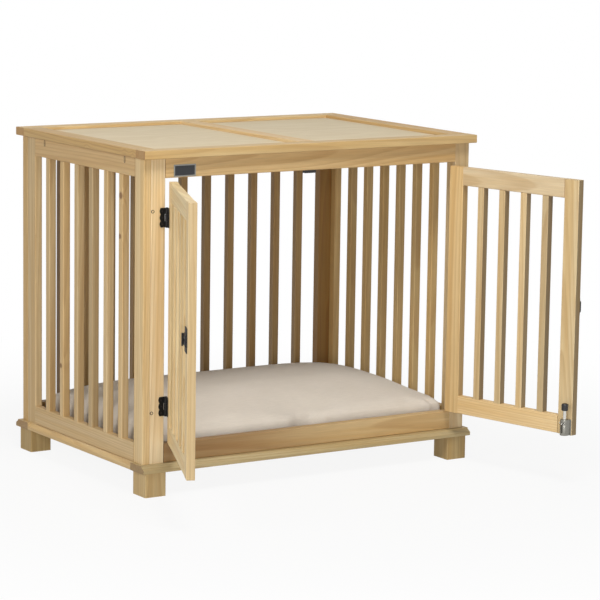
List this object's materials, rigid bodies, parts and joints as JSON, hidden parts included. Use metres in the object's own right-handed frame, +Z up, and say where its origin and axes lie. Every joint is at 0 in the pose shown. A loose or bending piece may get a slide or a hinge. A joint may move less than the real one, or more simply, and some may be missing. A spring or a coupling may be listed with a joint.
{
  "type": "dog crate end table",
  "caption": "Slatted wooden dog crate that doubles as an end table: framed top, moulded base on block feet, twin slatted doors with slide latch and floor bolt, and a floor cushion.",
  "frame": {"origin": "centre of the footprint with the doors open as pictured, on the floor", "axes": "+Z up, -Y out of the front with the doors, +X to the right seen from the front"},
  "size_m": [0.8744, 0.8424, 0.66],
  "materials": {
    "pine": "clear satin lacquer over planed pine",
    "plywood": "sanded pale plywood panel",
    "black_steel": "black powder-coated pressed steel",
    "grey_steel": "dull grey cast housing",
    "chrome": "bright plated rod",
    "black_plastic": "moulded satin black",
    "cotton": "woven natural cotton cover"
  },
  "bodies": {
    "carcass": {"left_front_stile": "pine", "left_rear_stile": "pine", "left_slats_and_rail": "pine", "left_top_rail": "pine", "right_front_stile": "pine", "right_rear_stile": "pine", "right_slats_and_rail": "pine", "right_top_rail": "pine", "front_left_stile": "pine", "front_right_stile": "pine", "apron": "pine", "sill": "pine", "back_left_stile": "pine", "back_right_stile": "pine", "back_slats_and_rail": "pine", "back_top_rail": "pine", "top_front_rail": "pine", "top_back_rail": "pine", "top_left_rail": "pine", "top_right_rail": "pine", "top_centre_rail": "pine", "top_left_panel": "plywood", "top_right_panel": "plywood", "base_front_moulding": "pine", "base_back_moulding": "pine", "base_left_moulding": "pine", "base_right_moulding": "pine", "floor_board": "plywood", "front_left_foot": "pine", "front_right_foot": "pine", "rear_left_foot": "pine", "rear_right_foot": "pine", "left_lower_hinge_post_leaf": "black_steel", "left_lower_hinge_pin": "black_steel", "left_upper_hinge_post_leaf": "black_steel", "left_upper_hinge_pin": "black_steel", "right_lower_hinge_post_leaf": "black_steel", "right_lower_hinge_pin": "black_steel", "right_upper_hinge_post_leaf": "black_steel", "right_upper_hinge_pin": "black_steel", "door_stop": "black_plastic", "cushion": "cotton"},
    "left_door": {"left_door_hinge_stile": "pine", "left_door_lock_stile": "pine", "left_door_slats_and_rail": "pine", "left_door_top_rail": "pine", "left_lower_hinge_door_leaf": "black_steel", "left_upper_hinge_door_leaf": "black_steel", "latch_case": "black_steel"},
    "left_latch": {"latch_bolt": "black_steel"},
    "right_door": {"right_door_hinge_stile": "pine", "right_door_lock_stile": "pine", "right_door_slats_and_rail": "pine", "right_door_top_rail": "pine", "right_lower_hinge_door_leaf": "black_steel", "right_upper_hinge_door_leaf": "black_steel", "latch_keeper": "black_steel", "floor_bolt_housing": "grey_steel"},
    "floor_bolt": {"floor_bolt_rod": "chrome", "floor_bolt_knob": "black_plastic"}
  },
  "joints": [
    {"name": "left_door_hinge", "type": "hinge", "parent": "carcass", "child": "left_door", "pos_m": [-0.30281, -0.09383, 0.351], "axis": [0, 0, 1], "range_deg": [-61, 114]},
    {"name": "left_latch_slide", "type": "slide", "parent": "left_door", "child": "left_latch", "axis": [-0.4067, -0.9135, 0], "range_m": [0, 0.015]},
    {"name": "right_door_hinge", "type": "hinge", "parent": "carcass", "child": "right_door", "pos_m": [0.36229, -0.09383, 0.351], "axis": [0, 0, 1], "range_deg": [-103, 72]},
    {"name": "floor_bolt_slide", "type": "slide", "parent": "right_door", "child": "floor_bolt", "axis": [0, 0, -1], "range_m": [0, 0.016]}
  ]
}
